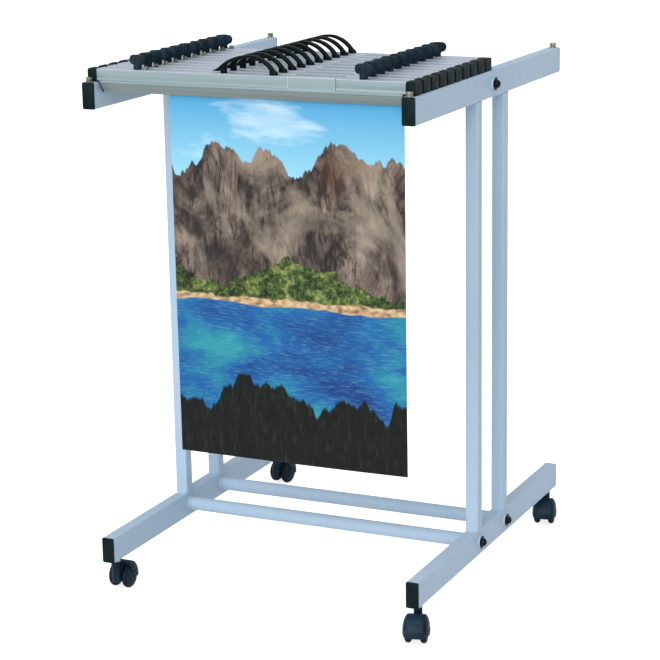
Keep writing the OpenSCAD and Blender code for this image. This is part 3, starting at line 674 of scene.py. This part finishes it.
def tube_cap_mesh(node):
    """Softly rounded plates on the ends of two long tubes, each with its plug, on the node's own places."""
    lo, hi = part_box(node)
    bm = bmesh.new()
    z = middle(node, 2) / MM
    rims = []
    for x in (lo.x / MM + TUBE_X, hi.x / MM - TUBE_X):
        for y, s in ((lo.y / MM, 1), (hi.y / MM, -1)):
            plate = prism(bm, rounded(x, z, TUBE_X, TUBE_Z, 2.6, 4), y, y + s * PLATE_Y, axis="y")
            rims += plate[0].edges
            prism(bm, rounded(x, z, TUBE_X - PLUG_IN, TUBE_Z - PLUG_IN, 1.5, 3),
                  y + s * (PLATE_Y - 0.1), y + s * 16, axis="y")
    round_off(bm, rims, 0.9, 3)
    return bm


for node, name in (("arm_end_caps", "arm_plugs"), ("foot_end_caps", "foot_plugs")):
    piece(name, tube_cap_mesh(node), (BLACK,), "frame", (node,))


def bolt_places():
    """Centres of the six bolts on the outer faces, in millimetres, with the way each faces."""
    for side, x in ((-1, LEFT_X), (1, RIGHT_X)):
        for node in ("rail_front", "rail_rear", "tie_bar"):
            yield side, x / MM, middle(node, 1) / MM, middle(node, 2) / MM


def bolt_meshes():
    """Dished washers, and the washer-headed bolts with hollow ends in them."""
    cups, heads = bmesh.new(), bmesh.new()
    for side, x, y, z in bolt_places():
        def at(p, side=side, x=x, y=y, z=z):
            return (x + side * p.z, y + p.x, z + side * p.y)
        lathe(cups, [(4.2, 0.0), (13.5, 0.0), (13.5, 1.4), (13.3, 2.8), (12.8, 3.7), (12.2, 4.1),
                     (4.2, 4.1)], 64, at)
        lathe(heads, [(0, 4.1), (12.2, 4.1), (12.5, 4.4), (12.5, 5.1), (12.2, 5.5), (10.0, 5.7), (8.4, 5.8),
                      (7.8, 6.2), (7.6, 8.4), (7.3, 9.9), (6.4, 11.4), (5.0, 12.5), (4.2, 12.85),
                      (3.4, 12.9), (3.0, 12.6), (2.8, 10.6), (0, 10.4)], 56, at)
    return cups, heads


cups, heads = bolt_meshes()
piece("bolt_dishes", cups, (PAINT,), "frame", ("bolt_cups",), sharp=30)
piece("bolt_heads", heads, (BOLT,), "frame", ("frame_bolts",), sharp=35)

# ------------------------------------------------------------------ casters

# Sizes in millimetres. IN, OUT and SIDE are along the axle from the middle, LOW and TOP from the floor.
WHEEL_R = 24
WHEEL_IN = 8.6
WHEEL_OUT = 25
WHEEL_STEPS = 72
BORE_R = 3.2
BOSS_R = 7.6
TRAIL = 24.5  # from the stem to the axle
STEM_R = 5.5
HOOD_R = 29.7
HOOD_GAP = 1.4
HOOD_SIDE = 24.5
HOOD_LOW = 16.5
HOOD_END = 108  # where the hood ends, past the wheels' top, in degrees from the trailing side
WEB = 8.2  # half of the web's thickness
WEB_START = 100
NECK_R = 8.25
NECK_TOP = 60.3


def caster_frame(c):
    """Function from a caster's own coordinates to the model's in millimetres. The axle gives its turn."""
    pts = [v.co for v in NODES["axle_" + c].data.vertices]
    lo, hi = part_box("axle_" + c)
    mid = (lo + hi) / 2
    far = max(pts, key=lambda p: (p - mid).length_squared)
    side = [p for p in pts if (p - mid).dot(far - mid) > 0]
    along = sum(side, Vector()) / len(side) - mid
    along.z = 0
    along.normalize()
    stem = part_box("caster_stems")
    sx = stem[0].x + STEM_R * MM if c[1] == "l" else stem[1].x - STEM_R * MM
    sy = stem[0].y + STEM_R * MM if c[0] == "f" else stem[1].y - STEM_R * MM
    trail = Vector((mid.x - sx, mid.y - sy, 0)).normalized()
    if trail.cross(along).z < 0:
        along = -along

    def at(x, y, z):
        """x is counted from the axle, away from the stem, y along the axle and z from the floor."""
        return (mid.x / MM + trail.x * x + along.x * y, mid.y / MM + trail.y * x + along.y * y, z)
    return at


def wheel_pair_mesh(c):
    """Two lathed wheels with a crowned tread, a dished side and a hub cap."""
    at = caster_frame(c)
    profile = [(BORE_R, WHEEL_IN), (20, WHEEL_IN), (21.4, 9.2), (22.5, 10.2), (23.3, 11.6), (23.8, 13.2),
               (WHEEL_R, 15), (23.8, 16.6), (23.3, 17.8), (22.4, 18.9), (21.2, 19.8), (19.6, 20.5), (17.4, 21),
               (14.4, 21.4), (13.8, 21), (10.6, 21.4), (10.1, 22), (9.8, 23.8), (8.8, WHEEL_OUT - 0.3),
               (BORE_R, WHEEL_OUT)]
    tread = slice(WHEEL_STEPS, 11 * WHEEL_STEPS)  # from the profile's point 1 to its point 11
    bm = bmesh.new()
    for s in (1, -1):
        faces = lathe(bm, profile, WHEEL_STEPS, lambda p, s=s: at(p.x, s * p.z, WHEEL_R + s * p.y))
        for f in faces[tread]:
            f.material_index = 1
    return bm


def hood_mesh(c):
    """Fender over the trailing half of both wheels, web between them, axle boss and neck."""
    at = caster_frame(c)
    outer = [(HOOD_R, 0), (HOOD_R, 8), (HOOD_R, 15), (29.5, 16.2), (28.9, 17.2), (27.2, 18.9), (25.2, 20.4),
             (22.6, 21.8), (19.5, 22.8), (16, 23.7), (12.6, HOOD_SIDE), (11.6, HOOD_SIDE),
             (11.2, HOOD_SIDE - 0.3), (11.2, 23.2)]
    inner = [(15, 22.5), (18.6, 21.8), (21.4, 20.9), (23.6, 19.2), (25, 17.4), (WHEEL_R + HOOD_GAP, 15.4),
             (WHEEL_R + HOOD_GAP, WEB), (4, WEB)]
    half = outer + inner
    section = half + [(r, -y) for r, y in reversed(half[1:])]
    web = softened([(4, -WEB), (4, WEB), (HOOD_R, WEB), (HOOD_R, -WEB)], 1.2, 3)
    low = math.degrees(math.asin((WHEEL_R - HOOD_LOW) / HOOD_R))
    bm = bmesh.new()

    def turned(shape, a0, a1, steps):
        """Sweeps a section of (radius, width) points about the axle, between two angles in degrees."""
        rings = []
        for i in range(steps + 1):
            a = math.radians(a0 + (a1 - a0) * i / steps)
            rings.append([at(r * math.cos(a), y, WHEEL_R + r * math.sin(a)) for r, y in shape])
        loft(bm, rings)

    turned(section, -low, HOOD_END, 40)
    turned(web, WEB_START, 180 + low, 26)
    boss = arc(0, 0, BOSS_R, 0, 360, 32)[:-1]
    loft(bm, [[at(x, y, WHEEL_R + z) for x, z in boss] for y in (-WEB + 0.05, WEB - 0.05)])
    low_z = HOOD_LOW + 1
    neck = [(0, low_z), (NECK_R - 2.5, low_z), (NECK_R - 1, low_z + 0.5), (NECK_R - 0.2, low_z + 1.5),
            (NECK_R, low_z + 3), (NECK_R, WHEEL_R + HOOD_R - 1), (NECK_R, NECK_TOP - 1.2),
            (NECK_R - 0.4, NECK_TOP - 0.4), (NECK_R - 1.2, NECK_TOP), (0, NECK_TOP)]
    lathe(bm, neck, 40, lambda p: at(p.x - TRAIL, p.y, p.z))
    return bm


for c in CASTERS:
    body = next(b for b, ns in frame["record"]["behaviour"]["bodies"].items() if "wheels_" + c in ns)
    piece("wheel_pair_" + c, wheel_pair_mesh(c), (CASTER, TREAD), body,
          ("wheels_" + c,), sharp=35)
    piece("fender_" + c, hood_mesh(c), (CASTER,), "caster_" + c, ("hood_" + c,), sharp=38)

# ---------------------------------------------------------------- the print


def print_mesh():
    """Thin sheet, flat between the jaws and very slightly bowed lower down."""
    lo, hi = (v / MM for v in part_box("print"))
    nx, nz = 36, 60
    thick = 0.4
    held = 40  # height of the flat top
    y0 = (lo.y + hi.y) / 2
    bm = bmesh.new()
    rows = []
    for side in (-1, 1):
        grid = []
        for j in range(nz + 1):
            z = lo.z + (hi.z - lo.z) * j / nz
            s = max(0.0, (hi.z - held - z) / (hi.z - held - lo.z))
            row = []
            for i in range(nx + 1):
                u = 2 * i / nx - 1
                bow = s * s * (2.6 * (u * u - 0.4)) + 0.7 * s * math.sin(2.3 * u + 4 * s)
                row.append(bm.verts.new((lo.x + (hi.x - lo.x) * i / nx, y0 + bow + side * thick / 2, z)))
            grid.append(row)
        rows.append(grid)
    front, back = rows
    for j in range(nz):
        for i in range(nx):
            f = bm.faces.new((front[j][i], front[j][i + 1], front[j + 1][i + 1], front[j + 1][i]))
            f.material_index = 1
            bm.faces.new((back[j][i + 1], back[j][i], back[j + 1][i], back[j + 1][i + 1]))
    for j in range(nz):
        for i in (0, nx):
            bm.faces.new((front[j][i], back[j][i], back[j + 1][i], front[j + 1][i]))
    for i in range(nx):
        for j in (0, nz):
            bm.faces.new((front[j][i + 1], back[j][i + 1], back[j][i], front[j][i]))
    return bm


lo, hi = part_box("print")
piece("hanging_print", print_mesh(), (PAPER, printed_picture(lo.x, lo.z, hi.x - lo.x, hi.z - lo.z)),
      "print", ("print",))

# ------------------------------------------------------------- coil springs

COIL_R = 5.6
WIRE_R = 0.8
COIL_TURNS = 5


def coil_spring_mesh(lo, hi):
    """Two wire coils over the lift studs, between the jaws and the channel."""
    bm = bmesh.new()
    per_turn = 28
    steps = COIL_TURNS * per_turn
    low, high = lo.z + WIRE_R, hi.z - WIRE_R
    for x in (lo.x + COIL_R + WIRE_R, hi.x - COIL_R - WIRE_R):
        rings = []
        for i in range(steps + 1):
            a = 2 * math.pi * i / per_turn
            ring = []
            for j in range(8):
                b = 2 * math.pi * j / 8
                r = COIL_R + WIRE_R * math.cos(b)
                ring.append((x + r * math.cos(a), (lo.y + hi.y) / 2 + r * math.sin(a),
                             low + (high - low) * i / steps + WIRE_R * math.sin(b)))
            rings.append(ring)
        loft(bm, rings)
    return bm


lo, hi = (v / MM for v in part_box("springs_1"))
coils = piece("coil_springs_1", coil_spring_mesh(lo, hi), (STEEL,), "binder_1", ("springs_1",))
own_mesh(coils)

# -------------------------------------------- CAD nodes that stay, with looks


def only(node, material):
    """Gives a node's mesh one material and leaves its shape alone."""
    mesh = NODES[node].data
    mesh.materials.clear()
    mesh.materials.append(material)
    for p in mesh.polygons:
        p.material_index = 0


for material, names in (
        (PAINT, ("foot_left", "foot_right", "uprights_left", "uprights_right", "arm_left", "arm_right",
                 "tie_bar", "rail_front", "rail_rear")),
        (STEEL, ("rail_plugs", "caster_stems", "lift_studs_1")),
        (BLACK, ("caster_sockets",)),
        (BRASS, ("stop_studs",)),
        (ALU, ["jaw_front_1", "jaw_rear_1"] + [f"clamp_{k}" for k in range(2, BINDERS + 1)]),
        (BOLT, ["axle_" + c for c in CASTERS])):
    for name in names:
        only(name, material)

# -------------------------------------------------------------------- stage


def make_floor():
    """White floor that glows towards the camera and takes soft shadows."""
    bm = bmesh.new()
    bmesh.ops.create_grid(bm, x_segments=1, y_segments=1, size=60)
    me = bpy.data.meshes.new("floor")
    bm.to_mesh(me)
    bm.free()
    o = linked("floor", me)
    a = Mat("floor_white", 0.9, spec=0.1)
    a.base(a.mix(a.noise(a.co, 2.0, 2), lin(206, 206, 206), lin(212, 212, 212)))
    a.b.inputs["Emission Color"].default_value = (1, 1, 1, 1)
    ray = a.add("ShaderNodeLightPath").outputs["Is Camera Ray"]
    a.put(a.b.inputs["Emission Strength"], a.remap(ray, 0, 1, 0.24, 0.75))
    me.materials.append(a.m)


def sun(name, towards, strength, spread, color):
    """A soft sun that shines from the direction towards."""
    d = bpy.data.lights.new(name, "SUN")
    d.energy = strength
    d.angle = math.radians(spread)
    d.color = color
    linked(name, d).rotation_euler = Vector(towards).to_track_quat("Z", "Y").to_euler()


def make_world():
    """Pale sky for the light, and a plain white backdrop where the camera sees it."""
    world = bpy.data.worlds.new("studio")
    world.use_nodes = True
    nodes, links = world.node_tree.nodes, world.node_tree.links
    sky = nodes["Background"]
    backdrop = nodes.new("ShaderNodeBackground")
    for light, color, strength in ((sky, (0.95, 0.98, 1.0, 1), 0.62), (backdrop, (0.97, 0.985, 1.0, 1), 1.0)):
        light.inputs["Color"].default_value = color
        light.inputs["Strength"].default_value = strength
    seen = nodes.new("ShaderNodeLightPath")
    choice = nodes.new("ShaderNodeMixShader")
    links.new(seen.outputs["Is Camera Ray"], choice.inputs["Fac"])
    links.new(sky.outputs["Background"], choice.inputs[1])
    links.new(backdrop.outputs["Background"], choice.inputs[2])
    links.new(choice.outputs["Shader"], nodes["World Output"].inputs["Surface"])
    bpy.context.scene.world = world


make_floor()
sun("key", (0.08, -0.93, 0.3), 1.6, 40, (1.0, 0.99, 0.98))
sun("top", (0.0, -0.4, 0.9), 1.05, 60, (0.98, 0.99, 1.0))
make_world()
bpy.context.scene.view_settings.view_transform = "Standard"
